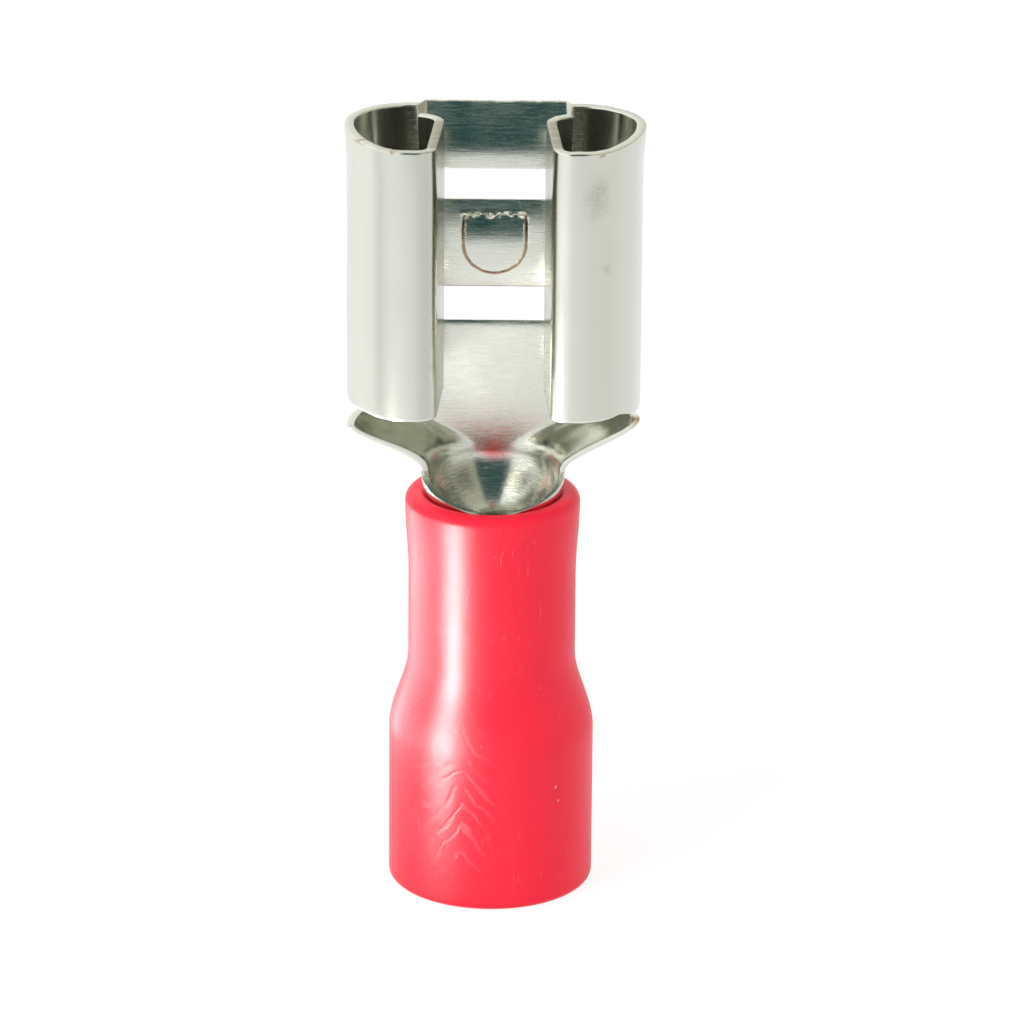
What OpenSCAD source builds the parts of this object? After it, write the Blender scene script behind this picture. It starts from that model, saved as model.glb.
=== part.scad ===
// Insulated female spade terminal for a 6.3 x 0.8 mm tab and 0.5 to 1.5 mm2 wire.
// One strip of tin-plated brass is folded into the receptacle, gathered through a funnel and
// rolled into the crimp barrel. A PVC sleeve is pressed over the barrel.
// Frame: +Z along the terminal with the wire end at z = 0, X across the receptacle,
// and the open side of the receptacle facing -Y. All sizes are in millimetres.

/* [Sheet] */
// Thickness of the brass sheet
sheet_t = 0.25; // [0.22:0.01:0.35]

/* [Receptacle] */
// Width over both curls
receptacle_w = 7.5; // [7.2:0.02:9]
// Depth from the back of the floor to the front of the curls
receptacle_d = 4.28; // [3.8:0.02:4.6]
// Length of the curls along the tab
curl_len = 7.12; // [6.4:0.01:8.55]
// Distance of the floor's back face behind the barrel's axis
floor_back = 1.68; // [1.4:0.02:1.8]
// Outer radius of the fold from the floor into the side
floor_fold_r = 1.7; // [1.4:0.02:1.8]
// Outer radius of the fold at the front of a curl
front_fold_r = 1.1; // [0.9:0.02:1.2]
// Turn of the curl's side before the front fold starts
side_turn = 38; // [34:1:45]
// Outer radius of the fold that turns the curl back towards the floor
return_fold_r = 0.5; // [0.45:0.01:0.6]
// Lean of the curl's last flat towards the middle
return_lean = 4; // [0:0.5:6]
// Outer radius of the roll that ends a curl, which bears on the tab
tip_fold_r = 0.8; // [0.7:0.02:0.9]
// Turn of that roll, away from the middle
tip_turn = 80; // [60:2:86]
// Opening between the two curls
curl_gap = 2.55; // [2.1:0.01:2.7]
// Gap between the curls' ends and the floor, which grips a 0.8 mm tab
tab_gap = 0.6; // [0.5:0.01:0.8]
// Radius on the outer lower corners of the curls
curl_corner_r = 0.36; // [0.2:0.02:0.7]

/* [Floor] */
// Height of the floor above the upper window, with its lead-in lip
header_h = 1.69; // [1.4:0.01:1.8]
// Width of the lead-in lip
lip_w = 3.7; // [3:0.02:4.4]
// Height of the lip
lip_h = 1.2; // [0.95:0.01:1.25]
// Angle by which the lip leans back
lip_angle = 26; // [12:0.5:28]
// Outer radius of the bend into the lip
lip_bend_r = 1.2; // [0.8:0.02:1.5]
// Height of the upper window
upper_window_h = 0.79; // [0.6:0.01:1.2]
// Height of the spring bridge between the windows
bridge_h = 2.36; // [1.9:0.01:2.84]
// Height of the lower window
lower_window_h = 0.92; // [0.6:0.01:1.2]
// Width of the windows
window_w = 3.3; // [2.8:0.02:4]
// Radius of the windows' corners
window_r = 0.2; // [0.1:0.01:0.25]
// Front radius of the bridge, which bulges towards the tab
bridge_r = 4.2; // [3.2:0.05:6]
// Distance that the middle of the bridge stands in front of the floor
bridge_rise = 0.2; // [0.1:0.01:0.22]

/* [Detent] */
// Width of the round-ended detent on the bridge
detent_w = 1.6; // [1.3:0.01:1.92]
// Height of the detent
detent_h = 1.55; // [1.2:0.01:1.7]
// Width of the sheared line round the detent
detent_line_w = 0.1; // [0.06:0.01:0.15]
// Depth of the sheared line
detent_line_depth = 0.1; // [0.05:0.01:0.15]

/* [Funnel and barrel] */
// Height of the slits that part the curls from the shoulders
slit_h = 0.85; // [0.6:0.01:1.1]
// Distance from the floor's back to the blind end of the slits
slit_end = 0.5; // [0.4:0.02:0.8]
// Height of the funnel, from the slits down to the barrel
funnel_h = 3; // [2.5:0.02:3.6]
// Height of the funnel's waist, as a share of the funnel
waist_at = 0.55; // [0.45:0.01:0.6]
// Width of the flat floor at the waist
waist_flat_w = 0.58; // [0.3:0.01:0.8]
// Outer radius of the sides at the waist
waist_r = 1.5; // [1.4:0.01:1.6]
// Angle that the shoulders wrap round, measured from the middle of the floor
shoulder_wrap = 96; // [85:1:110]
// Bore of the crimp barrel
barrel_bore = 1.7; // [1.6:0.01:2.04]
// Length of the crimp barrel below the funnel
barrel_len = 4.8; // [4:0.02:5.2]
// Width of the butt seam along the front of the barrel
seam_w = 0.06; // [0.04:0.01:0.1]

/* [Sleeve] */
// Length of the insulating sleeve
sleeve_len = 10.66; // [10.2:0.02:12.8]
// Depth of the sleeve's mouth, down to where it grips the barrel
mouth_depth = 1.1; // [0.95:0.01:1.3]
// Radius of the sleeve's mouth inside its rounded rim
mouth_r = 1.66; // [1.62:0.01:1.75]
// Outer diameter of the rim
rim_d = 4.5; // [4.44:0.02:5.4]
// Outer diameter of the neck
neck_d = 4.32; // [4.1:0.02:4.5]
// Outer diameter of the wire end
wire_end_d = 5.3; // [5:0.02:6.36]
// Bore of the wire end, which takes the wire's insulation
wire_end_bore = 4.1; // [3.6:0.02:4.3]
// Length of the wide wire end
wire_end_len = 4.16; // [3.6:0.02:4.9]
// Length of the swell between the neck and the wire end
swell_len = 2.1; // [1.6:0.02:2.5]
// Radius of the rounded edges
edge_r = 0.26; // [0.2:0.01:0.28]
// Radius of the outer edge at the foot
foot_r = 0.2; // [0.1:0.01:0.28]

/* [Hidden] */
$fn = 96;
// Overlap that makes joined stretches of the sheet one solid
lap = 0.02;
// Length of the funnel's ends that are tucked inside the walls they join
tuck_len = 0.1;
// Rows and columns of the funnel's surface
funnel_rows = 26;
funnel_cols = 32;
// Steps in each rounded stretch of the sleeve's outline
arc_steps = 10;

barrel_r = barrel_bore / 2 + sheet_t;
barrel_top = sleeve_len - mouth_depth;
funnel_top = barrel_top + funnel_h;
curl_bottom = funnel_top + slit_h;
mouth_z = curl_bottom + curl_len;
header_z = mouth_z - header_h;
bridge_top = header_z - upper_window_h;
bridge_bottom = bridge_top - bridge_h;
floor_end = bridge_bottom - lower_window_h;
half_w = receptacle_w / 2;
floor_half = half_w - floor_fold_r;
front_turn = 90 - side_turn;
side_r = (receptacle_d - floor_fold_r - front_fold_r * (1 - sin(side_turn))) / sin(side_turn);
front_start = half_w - side_r * (1 - cos(side_turn)) - front_fold_r * cos(side_turn);
return_depth = receptacle_d - sheet_t - tab_gap - return_fold_r * (1 - sin(return_lean));
tip_depth = tip_fold_r * (sin(return_lean) + sin(tip_turn - return_lean));
return_len = (return_depth - tip_depth) / cos(return_lean);
front_end = curl_gap / 2 + tip_fold_r * (1 - cos(return_lean))
    + return_len * sin(return_lean) + return_fold_r * cos(return_lean);
// Half the angle of the barrel's seam, and shares of the funnel's height: the slits' tops
// and the tucked ends
seam_turn = asin((seam_w / 2 + lap) / (barrel_bore / 2));
slit_share = (funnel_h + slit_h) / funnel_h;
tuck_share = tuck_len / funnel_h;

// A fold path is a list of [outer radius, turn in degrees] and, with radius 0, [0, length].
// The outer face starts along +X and every fold turns left, round the sheet's inner face.
CURL = [
    [0, floor_half],
    [floor_fold_r, 90],
    [side_r, side_turn],
    [front_fold_r, front_turn],
    [0, front_start - front_end],
    [return_fold_r, 90 - return_lean],
    [0, return_len],
    [tip_fold_r, tip_turn]
];

// Sheet of width w that follows a fold path, standing on its side edge
module fold(path, w, i = 0) {
    if (i < len(path)) {
        r = path[i][0];
        q = path[i][1];
        if (r == 0) {
            cube([q, sheet_t, w]);
            translate([q, 0, 0]) fold(path, w, i + 1);
        } else {
            translate([0, r, 0]) {
                rotate(-90) linear_extrude(w) ring_sector(r, q);
                rotate(q) translate([0, -r, 0]) fold(path, w, i + 1);
            }
        }
    }
}

// Bent stretch of sheet with outer radius r, from angle 0 to just past angle turn
module ring_sector(r, turn) {
    reach = 2 * r;
    end = turn + asin(lap / r);
    intersection() {
        difference() {
            circle(r);
            circle(r - sheet_t);
        }
        polygon([
            [0, 0],
            [reach, 0],
            [reach * cos(turn / 2), reach * sin(turn / 2)],
            [reach * cos(end), reach * sin(end)]
        ]);
    }
}

// Both curls and the floor between them, with the outer lower corners rounded off
module curls() {
    intersection() {
        translate([0, floor_back, curl_bottom]) {
            for (side = [0, 1]) mirror([side, 0, 0]) mirror([0, 1, 0]) fold(CURL, curl_len);
        }
        translate([0, floor_back + lap, curl_bottom]) rotate([90, 0, 0]) {
            linear_extrude(receptacle_d + 2 * lap) curl_outline();
        }
    }
}

// Front view of the curls, taller than they are, so that only the lower corners are cut
module curl_outline() {
    translate([-half_w, curl_corner_r]) square([receptacle_w, curl_len]);
    translate([curl_corner_r - half_w, 0]) {
        square([receptacle_w - 2 * curl_corner_r, curl_len]);
    }
    for (side = [-1, 1]) {
        translate([side * (half_w - curl_corner_r), curl_corner_r]) circle(curl_corner_r);
    }
}

// Round-cornered opening through the floor, from z = low to z = high
module window(low, high) {
    translate([0, floor_back + lap, 0]) rotate([90, 0, 0]) {
        linear_extrude(sheet_t + 2 * lap) {
            translate([-window_w / 2 + window_r, low]) {
                square([window_w - 2 * window_r, high - low]);
            }
            translate([-window_w / 2, low + window_r]) {
                square([window_w, high - low - 2 * window_r]);
            }
            for (x = [-1, 1] * (window_w / 2 - window_r), z = [low + window_r, high - window_r]) {
                translate([x, z]) circle(window_r);
            }
        }
    }
}

// Strip across the floor, of sheet that is bent with +X up the terminal and +Y to its front
module across_floor(width) {
    translate([width / 2, floor_back, 0]) rotate([0, -90, 0]) mirror([0, 1, 0]) children();
}

// Lip at the mouth, leaning back to lead the tab in
module lead_in_lip() {
    straight = (lip_h - lip_bend_r * sin(lip_angle)) / cos(lip_angle);
    translate([0, 0, mouth_z - lip_h]) across_floor(lip_w) {
        translate([0, sheet_t, 0]) mirror([0, 1, 0]) {
            fold([[lip_bend_r, lip_angle], [0, straight]], lip_w);
        }
    }
}

// Arched layer of the bridge, between two depths under its front face
module bridge_arch(from, to) {
    half_angle = asin(bridge_h / 2 / bridge_r);
    reach = 2 * bridge_r;
    translate([bridge_h / 2, sheet_t + bridge_rise - bridge_r]) intersection() {
        difference() {
            circle(bridge_r - from);
            circle(bridge_r - to);
        }
        polygon([[0, 0], [-reach * tan(half_angle), reach], [reach * tan(half_angle), reach]]);
    }
}

// Spring bridge between the windows, with the sheared line of its detent
module bridge() {
    translate([0, 0, bridge_bottom]) difference() {
        across_floor(window_w + 2 * lap) linear_extrude(window_w + 2 * lap) {
            bridge_arch(0, sheet_t);
        }
        intersection() {
            across_floor(window_w) linear_extrude(window_w) bridge_arch(-lap, detent_line_depth);
            translate([0, floor_back, 0]) rotate([90, 0, 0]) linear_extrude(receptacle_d) {
                detent_line();
            }
        }
    }
}

// Front view of the detent's sheared line, a U that is open towards the mouth
module detent_line() {
    end_r = detent_w / 2;
    low = (bridge_h - detent_h) / 2;
    translate([0, low + end_r]) {
        difference() {
            circle(end_r);
            circle(end_r - detent_line_w);
            translate([-end_r, 0]) square([detent_w, end_r]);
        }
        for (x = [-end_r, end_r - detent_line_w]) {
            translate([x, 0]) square([detent_line_w, detent_h - end_r]);
        }
    }
}

// Smooth step from 0 to 1
function ease(x) = let (c = min(max(x, 0), 1)) c * c * (3 - 2 * c);
function mix(a, b, k) = a + (b - a) * k;
// Half width of the funnel's flat floor, its side radius, its back and its wrap,
// at a share s of the way from the barrel up to the slits
function above_waist(s) = ease((s - waist_at) / (1 - waist_at));
function below_waist(s) = ease(s / waist_at);
function flat_half(s) = s < waist_at
    ? waist_flat_w / 2 * below_waist(s)
    : mix(waist_flat_w / 2, floor_half, above_waist(s));
function side_radius(s) = s < waist_at
    ? mix(barrel_r, waist_r, below_waist(s))
    : mix(waist_r, floor_fold_r, above_waist(s));
function back(s) = mix(barrel_r, floor_back, ease(s));
function wrap(s) = mix(180 - seam_turn, shoulder_wrap, ease(2 * s / waist_at - 1));
// Amount by which the funnel's wall is thinned on each face, where it is tucked in
function tuck(s) = lap * (1 - ease(s / tuck_share) + ease((s - slit_share) / tuck_share));
// Point on the funnel's outer face, at share s up and share u (-1 to 1) across
function funnel_point(s, u) =
    let (
        flat = flat_half(s),
        r = side_radius(s),
        along = abs(u) * (flat + r * wrap(s) * PI / 180),
        turn = max(along - flat, 0) / r * 180 / PI,
        x = min(along, flat) + r * sin(turn)
    )
    [(u < 0 ? -x : x), back(s) - r * (1 - cos(turn)), barrel_top + s * funnel_h];
function unit(v) = v / norm(v);
function funnel_normal(s, u) =
    let (d = 0.001)
    unit(cross(
        funnel_point(s, u + d) - funnel_point(s, u - d),
        funnel_point(s - d, u) - funnel_point(s + d, u)
    ));

// Grid of points on the funnel's outer face, or on its inner face
function funnel_face(inner) = [
    for (i = [0 : funnel_rows], j = [0 : funnel_cols])
        let (
            s = mix(-tuck_share, slit_share + tuck_share, i / funnel_rows),
            u = 2 * j / funnel_cols - 1,
            depth = inner ? sheet_t - tuck(s) : tuck(s)
        )
        funnel_point(s, u) - depth * funnel_normal(s, u)
];

// Funnel that gathers the floor and the shoulders into the barrel, with the floor's strip
// that passes between the two slits
module funnel() {
    difference() {
        polyhedron(
            concat(funnel_face(inner = false), funnel_face(inner = true)),
            sheet_faces(funnel_rows, funnel_cols),
            convexity = 6
        );
        translate([-receptacle_w, floor_back - slit_end - receptacle_d, funnel_top]) {
            cube([2 * receptacle_w, receptacle_d, 2 * slit_h]);
        }
    }
}

// Triangles of a closed sheet made of two grids of points
function sheet_faces(rows, cols) =
    let (w = cols + 1, n = (rows + 1) * w)
    concat(
        [
            for (i = [0 : rows - 1], j = [0 : cols - 1], a = [i * w + j])
                each concat(
                    quad(a, a + 1, a + w + 1, a + w),
                    quad(n + a, n + a + w, n + a + w + 1, n + a + 1)
                )
        ],
        [
            for (j = [0 : cols - 1], a = [rows * w + j])
                each concat(quad(j + 1, j, n + j, n + j + 1), quad(a, a + 1, n + a + 1, n + a))
        ],
        [
            for (i = [0 : rows - 1], a = [i * w], b = [a + cols])
                each concat(quad(a, a + w, n + a + w, n + a), quad(b + w, b, n + b, n + b + w))
        ]
    );
function quad(a, b, c, d) = [[a, b, c], [a, c, d]];

// Rolled crimp barrel with its butt seam at the front
module barrel() {
    translate([0, 0, barrel_top - barrel_len]) linear_extrude(barrel_len) difference() {
        circle(barrel_r);
        circle(barrel_bore / 2);
        translate([-seam_w / 2, -2 * barrel_r]) square([seam_w, 2 * barrel_r]);
    }
}

module terminal() {
    color("gainsboro") {
        difference() {
            curls();
            window(floor_end, header_z);
            translate([lap - lip_w / 2, floor_back - sheet_t - lap, mouth_z - lip_h + lap]) {
                cube([lip_w - 2 * lap, sheet_t + 2 * lap, lip_h]);
            }
        }
        lead_in_lip();
        bridge();
        funnel();
        barrel();
    }
}

// Points of an arc in the sleeve's outline, from angle a0 to angle a1
function arc(centre, r, a0, a1) = [
    for (i = [0 : arc_steps])
        let (a = mix(a0, a1, i / arc_steps))
        centre + r * [cos(a), sin(a)]
];
// Points of an S-shaped stretch that leaves both ends upright
function swell(low, high) = [
    for (i = [1 : arc_steps - 1])
        let (k = i / arc_steps)
        [mix(low[0], high[0], ease(k)), mix(low[1], high[1], k)]
];

module sleeve() {
    rim_r = rim_d / 2;
    neck_r = neck_d / 2;
    wire_r = wire_end_d / 2;
    bore_r = wire_end_bore / 2;
    inner_edge_r = edge_r / 2;
    neck_low = wire_end_len + swell_len;
    neck_high = sleeve_len - 2 * mouth_depth;
    barrel_end = barrel_top - barrel_len;
    rim_inner_r = mouth_r + edge_r;
    color("crimson") rotate_extrude() polygon(concat(
        arc([bore_r + inner_edge_r, inner_edge_r], inner_edge_r, 180, 270),
        arc([wire_r - foot_r, foot_r], foot_r, -90, 0),
        [[wire_r, wire_end_len]],
        swell([wire_r, wire_end_len], [neck_r, neck_low]),
        [[neck_r, neck_low], [neck_r, neck_high]],
        swell([neck_r, neck_high], [rim_r, sleeve_len - edge_r]),
        arc([rim_r - edge_r, sleeve_len - edge_r], edge_r, 0, 90),
        arc([rim_inner_r, sleeve_len - edge_r], edge_r, 90, 180),
        [
            [barrel_r, barrel_top],
            [barrel_r, barrel_end],
            [bore_r, barrel_end - (bore_r - barrel_r)]
        ]
    ));
}

terminal();
sleeve();
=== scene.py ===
"""The looks of an insulated female spade terminal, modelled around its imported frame."""

import math

import bmesh
import bpy
from mathutils import Matrix, Vector, noise


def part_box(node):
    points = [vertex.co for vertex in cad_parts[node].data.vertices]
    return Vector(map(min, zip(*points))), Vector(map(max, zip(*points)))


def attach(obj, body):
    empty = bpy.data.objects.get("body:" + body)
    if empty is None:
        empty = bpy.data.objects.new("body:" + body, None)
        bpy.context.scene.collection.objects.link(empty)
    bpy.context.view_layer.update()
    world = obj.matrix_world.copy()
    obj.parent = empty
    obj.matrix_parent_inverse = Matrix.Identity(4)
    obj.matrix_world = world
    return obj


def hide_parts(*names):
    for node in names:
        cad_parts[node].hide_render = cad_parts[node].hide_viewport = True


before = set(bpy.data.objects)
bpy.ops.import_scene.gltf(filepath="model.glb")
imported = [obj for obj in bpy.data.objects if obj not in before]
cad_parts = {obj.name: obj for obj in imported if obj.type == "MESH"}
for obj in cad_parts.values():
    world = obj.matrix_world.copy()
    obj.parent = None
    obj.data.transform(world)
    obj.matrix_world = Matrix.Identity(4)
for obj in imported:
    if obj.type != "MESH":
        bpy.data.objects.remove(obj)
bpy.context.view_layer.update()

bl_info = {
    "name": "Female Spade Terminal",
    "version": (1, 0, 0),
    "blender": (4, 5, 0),
    "location": "3D View > Sidebar > Terminal",
    "description": "Models the folded terminal, its sleeve and the stage they stand on",
    "category": "Object",
}

MM = 0.001
STRIP_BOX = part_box("terminal")
SLEEVE_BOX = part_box("sleeve")
SLIT_CORNER = 0.2 * MM
WINDOW_SILL = 0.26 * MM
# The folds whose sides meet below this angle are shaded smooth
SMOOTH_ANGLE = math.radians(35)
# Corners of the thickened blank above this angle are rounded
SHARP_ANGLE = math.radians(50)
# The curls' insides take a duller, yellower copy of the tin as painted shade, from here outwards
# on the blank
INNER_START = 4.6 * MM
RAGGED_EDGE = 0.022 * MM
# Marks on the flat blank in millimetres: centre, size and strength
SMUDGES = [
    ((7.6, 19.4), (0.55, 0.8), 0.42),
    ((7.3, 17.4), (0.18, 0.22), 0.3),
    ((5.2, 16.0), (0.5, 2.5), 0.2),
    ((-5.2, 15.5), (0.4, 2.0), 0.2),
]
STAINS = [
    ((-7.65, 20.5), (0.14, 0.05), 0.8),
    ((7.5, 20.47), (0.16, 0.06), 0.8),
    ((4.8, 12.6), (0.35, 0.4), 0.8),
    ((-6.4, 20.5), (0.5, 0.05), 0.6),
]
# The sleeve's red, caught in the throat: a tint that stands in for a faint reflection
BLUSH = ((0, 11.2, 0), (0.95, 0.6, 1))
BLUSH_COLOUR = (0.8, 0.1, 0.12, 1.0)
# The ring's shades: azimuth in degrees from the camera's side, brightness and warmth
RING_SHADES = [
    (-180, 1.12, 0.0),
    (-146, 1.02, -0.01),
    (-115, 1.13, 0.02),
    (-80, 1.0, 0.0),
    (-50, 1.14, 0.0),
    (-12, 1.1, 0.0),
    (6, 0.92, 0.0),
    (35, 0.85, 0.01),
    (92, 0.85, 0.02),
    (128, 0.93, 0.0),
    (160, 1.03, 0.0),
    (180, 1.12, 0.0),
]
RING_STRENGTH = 0.95
# What gloss sees of the room: its bright left and its dim right
ROOM_LEFT = (1.25, 1.25, 1.22, 1)
ROOM_RIGHT = (0.5, 0.48, 0.38, 1)


def length(name, description, millimetres):
    """A length setting, shown in the scene's units."""
    return bpy.props.FloatProperty(
        name=name, description=description, default=millimetres * MM, unit="LENGTH", precision=5
    )


def turn(name, description, degrees):
    """An angle setting."""
    return bpy.props.FloatProperty(
        name=name, description=description, default=math.radians(degrees), subtype="ANGLE"
    )


def tint(name, description, colour):
    """A colour setting."""
    return bpy.props.FloatVectorProperty(
        name=name, description=description, default=colour, subtype="COLOR", min=0, max=1
    )


class StripSettings(bpy.types.PropertyGroup):
    """Sizes and colours of the folded strip."""

    sheet: length("Sheet", "Thickness of the brass sheet", 0.25)
    floor_back: length("Floor back", "Distance of the floor's back behind the axis", 1.68)
    depth: length("Depth", "Depth of the receptacle", 4.28)
    curl_length: length("Curl length", "Length of the curls along the tab", 7.12)
    floor_fold: length("Floor fold", "Outer radius of the fold beside the floor", 1.7)
    front_fold: length("Front fold", "Outer radius of the fold at the front of a curl", 1.1)
    side_turn: turn("Side turn", "Turn of the curl's side", 38)
    return_fold: length("Return fold", "Outer radius of the fold back to the floor", 0.5)
    return_lean: turn("Return lean", "Lean of the return towards the middle", 4)
    tip_fold: length("Tip roll", "Outer radius of the roll that ends a curl", 0.8)
    tip_turn: turn("Tip turn", "Turn of the roll that ends a curl", 80)
    gap: length("Front gap", "Opening between the two curls", 2.55)
    tab_gap: length("Tab gap", "Gap between the curls' ends and the floor", 0.6)
    left_corner: length("Left corner", "Radius of the left curl's outer lower corner", 0.16)
    right_corner: length("Right corner", "Radius of the right curl's outer lower corner", 0.06)
    left_dip: length("Left dip", "Drop of the left curl's lower edge at its side", 0.1)
    right_dip: length("Right dip", "Drop of the right curl's lower edge at its side", 0.3)
    flare: length("Flare", "Widening of each curl at the mouth", 0.06)
    header: length("Header", "Height of the floor above the upper window", 1.69)
    lip_width: length("Lip width", "Width of the lead-in lip", 3.7)
    lip_height: length("Lip height", "Height of the lead-in lip", 1.5)
    lip_angle: turn("Lip angle", "Angle by which the lip leans back", 26)
    lip_bend: length("Lip bend", "Front radius of the bend into the lip", 2.0)
    upper_window: length("Upper window", "Height of the upper window", 0.79)
    bridge: length("Bridge", "Height of the spring bridge", 2.36)
    lower_window: length("Lower window", "Height of the lower window", 0.92)
    window_width: length("Window width", "Width of both windows", 3.3)
    window_corner: length("Window corners", "Radius of the windows' corners", 0.2)
    bridge_radius: length("Bridge radius", "Front radius of the bridge", 4.2)
    bridge_rise: length("Bridge rise", "Height of the bridge in front of the floor", 0.2)
    detent_width: length("Detent width", "Width of the detent on the bridge", 1.6)
    detent_height: length("Detent height", "Height of the detent on the bridge", 1.55)
    slit: length("Slit", "Height of the slits under the curls", 0.85)
    slit_end: length("Slit end", "Distance from the floor's back to the slits' ends", 0.5)
    funnel: length("Funnel", "Height of the funnel", 3.0)
    waist_flat: length("Waist flat", "Width of the flat floor at the waist", 0.58)
    waist_radius: length("Waist radius", "Outer radius of the sides at the waist", 1.56)
    waist_at: bpy.props.FloatProperty(
        name="Waist", description="Place of the waist, as a share of the funnel", default=0.54
    )
    shoulder_wrap: turn("Shoulders", "Angle that the shoulders wrap round", 96)
    left_tip: length("Left shoulder tip", "Height of the left shoulder's tip over rest", -0.12)
    right_tip: length("Right shoulder tip", "Height of the right shoulder's tip over rest", 0.12)
    barrel_radius: length("Barrel radius", "Outer radius of the crimp barrel", 1.1)
    seam: length("Seam", "Width of the barrel's butt seam", 0.06)
    edge_round: length("Edge rounding", "Rounding of the sheared edges", 0.03)
    tin: tint("Tin", "Colour of the tin plating", (0.745, 0.765, 0.69))
    brass: tint("Brass", "Colour of the bare brass at sheared edges", (0.62, 0.36, 0.16))
    # Colour of the smudges, and of the painted shade in the folds where the curls turn back in
    tarnish_and_shade: tint("Tarnish", "Colour of the tarnish in the folds", (0.33, 0.31, 0.23))


class SleeveSettings(bpy.types.PropertyGroup):
    """Sizes and colour of the insulating sleeve."""

    rim: length("Rim", "Outer diameter of the rim", 4.5)
    neck: length("Neck", "Outer diameter of the neck", 4.32)
    mouth: length("Mouth", "Radius of the mouth inside the rounded rim", 1.66)
    mouth_depth: length("Mouth depth", "Depth of the mouth", 1.1)
    grip: length("Grip", "Radius of the bore that grips the barrel", 1.1)
    grip_end: length("Grip end", "Height of the grip's lower end", 4.76)
    wire_bore: length("Wire bore", "Bore of the wire end", 4.1)
    wire_end: length("Wire end", "Length of the wide wire end", 4.16)
    swell: length("Swell", "Length of the swell above the wire end", 2.1)
    edge: length("Edge", "Radius of the rounded edges", 0.26)
    foot: length("Foot edge", "Radius of the outer edge at the foot", 0.2)
    red: tint("Red", "Colour of the sleeve", (0.96, 0.012, 0.045))
    # Paler red for the fine scratches, and for the painted highlight on the slanting wrinkles
    scuff_and_sheen: tint("Scuff", "Colour of the scuffs on the sleeve", (0.98, 0.26, 0.3))


class StageSettings(bpy.types.PropertyGroup):
    """The camera, the floor and the light."""

    elevation: turn("Elevation", "Camera angle above the horizon", 20.5)
    roll: turn("Roll", "Turn of the camera about its own axis", 0.48)
    distance: length("Distance", "Distance of the camera", 180)
    aim_side: length("Aim side", "Place that the camera looks at, along X", 0.5)
    aim_height: length("Aim height", "Place that the camera looks at, along Z", 10.05)
    lens: bpy.props.FloatProperty(name="Lens", description="Focal length in mm", default=246)
    floor: tint("Floor", "Colour of the floor", (0.9, 0.9, 0.9))
    room: tint("Room", "Colour of the dim room in front", (0.003, 0.055, 0.055))


# ---------------------------------------------------------------- tools shared by the pieces


def deselect():
    """Leaves nothing selected, so that an operator acts only on the new piece."""
    if bpy.context.object and bpy.context.object.mode != "OBJECT":
        bpy.ops.object.mode_set(mode="OBJECT")
    bpy.ops.object.select_all(action="DESELECT")


def finished(piece, name, node, slot, *materials):
    """Names a piece, dresses it and lets it stand for its CAD node."""
    piece.name = name
    piece.data.name = name
    piece.data.materials.clear()
    for material in materials:
        piece.data.materials.append(material)
    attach(piece, "root")
    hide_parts(node)
    return piece


def ease(x):
    """Smooth step from 0 to 1."""
    x = min(max(x, 0.0), 1.0)
    return x * x * (3 - 2 * x)


def mix(a, b, k):
    """The value a share k of the way from a to b."""
    return a + (b - a) * k


def stations(start, *stretches):
    """Positions from start, through stretches of (end, longest step), each divided evenly."""
    places = [start]
    for end, step in stretches:
        begin = places[-1]
        count = max(1, math.ceil((end - begin) / step - 1e-6))
        places += [mix(begin, end, i / count) for i in range(1, count + 1)]
    return places


# ---------------------------------------------------------------- materials


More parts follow.
